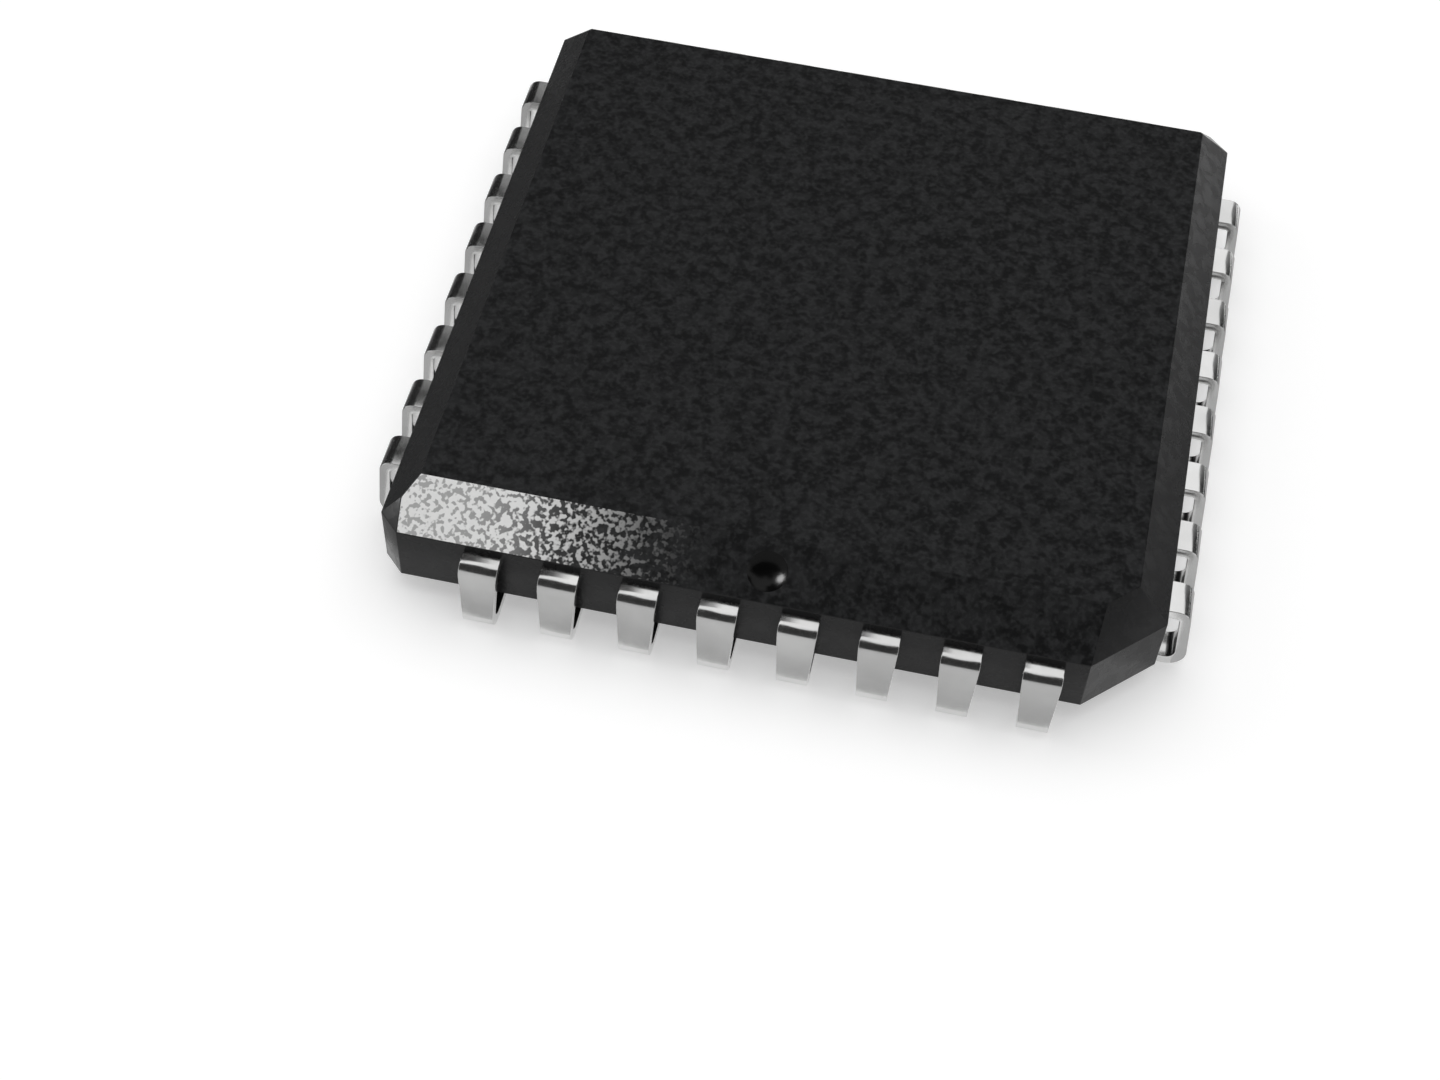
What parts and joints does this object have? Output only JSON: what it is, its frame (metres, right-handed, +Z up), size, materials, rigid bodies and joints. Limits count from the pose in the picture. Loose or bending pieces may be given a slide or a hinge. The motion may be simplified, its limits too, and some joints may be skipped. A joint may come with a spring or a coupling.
{
  "type": "plcc chip",
  "caption": "Square moulded chip package with J-shaped leads curled under on every side, a bevelled edge with a dimple, and an exposed metal pad beneath.",
  "frame": {"origin": "on the board plane under the middle of the package, where the feet rest", "axes": "+Z up through the top face, -Y towards the bevelled edge with the dimple, +X towards the side that shares the large cut corner with it"},
  "size_m": [0.0132, 0.0132, 0.0021],
  "materials": {
    "moulded_epoxy": "fine matte moulding, near black",
    "tin_plate": "smooth tin plating, satin-bright",
    "pad_metal": "polished plating",
    "adhesive": "cured silver-filled adhesive",
    "silicon": "polished silicon"
  },
  "bodies": {
    "root": {"package_body": "moulded_epoxy", "die_pad": "pad_metal", "die_attach": "adhesive", "die": "silicon", "lead_01": "tin_plate", "lead_02": "tin_plate", "lead_03": "tin_plate", "lead_04": "tin_plate", "lead_05": "tin_plate", "lead_06": "tin_plate", "lead_07": "tin_plate", "lead_08": "tin_plate", "lead_09": "tin_plate", "lead_10": "tin_plate", "lead_11": "tin_plate", "lead_12": "tin_plate", "lead_13": "tin_plate", "lead_14": "tin_plate", "lead_15": "tin_plate", "lead_16": "tin_plate", "lead_17": "tin_plate", "lead_18": "tin_plate", "lead_19": "tin_plate", "lead_20": "tin_plate", "lead_21": "tin_plate", "lead_22": "tin_plate", "lead_23": "tin_plate", "lead_24": "tin_plate", "lead_25": "tin_plate", "lead_26": "tin_plate", "lead_27": "tin_plate", "lead_28": "tin_plate", "lead_29": "tin_plate", "lead_30": "tin_plate", "lead_31": "tin_plate", "lead_32": "tin_plate"}
  },
  "joints": []
}
